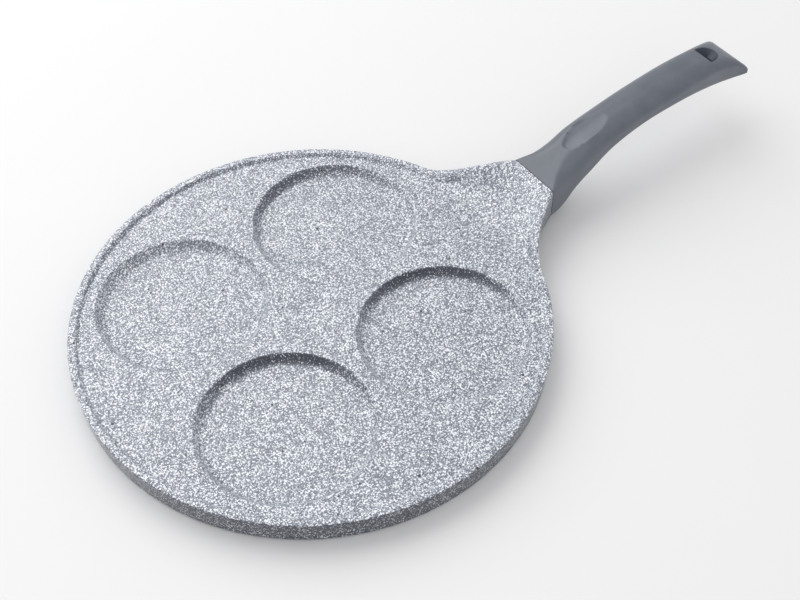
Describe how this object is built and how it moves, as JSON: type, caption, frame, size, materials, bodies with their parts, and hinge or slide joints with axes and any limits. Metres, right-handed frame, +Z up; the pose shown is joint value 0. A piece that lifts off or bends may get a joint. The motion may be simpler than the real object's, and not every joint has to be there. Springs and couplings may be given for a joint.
{
  "type": "pancake pan",
  "caption": "Round cast pan with shallow wells for small pancakes, a low raised lip and a scooped neck that climbs to a curved plastic handle with a thumb rest and a hanging hole.",
  "frame": {"origin": "middle of the base, on the hob's surface", "axes": "+X along the handle from the pan to its tip, +Z up out of the wells, +Y across the handle, to the left of someone who looks along +X"},
  "size_m": [0.4448, 0.261, 0.054],
  "materials": {
    "coated_casting": "speckled stone-look non-stick coat on cast aluminium, pale flecks and rare black specks on grey",
    "base_steel": "turned stainless steel with fine rings",
    "soft_plastic": "soft-touch matt grey on moulded heat-resistant plastic",
    "plated_steel": "bright zinc-plated steel"
  },
  "bodies": {
    "root": {"pan_body": "coated_casting", "induction_plate": "base_steel", "handle": "soft_plastic", "handle_screw": "plated_steel", "lock_washer": "plated_steel", "flat_washer": "plated_steel"}
  },
  "joints": []
}
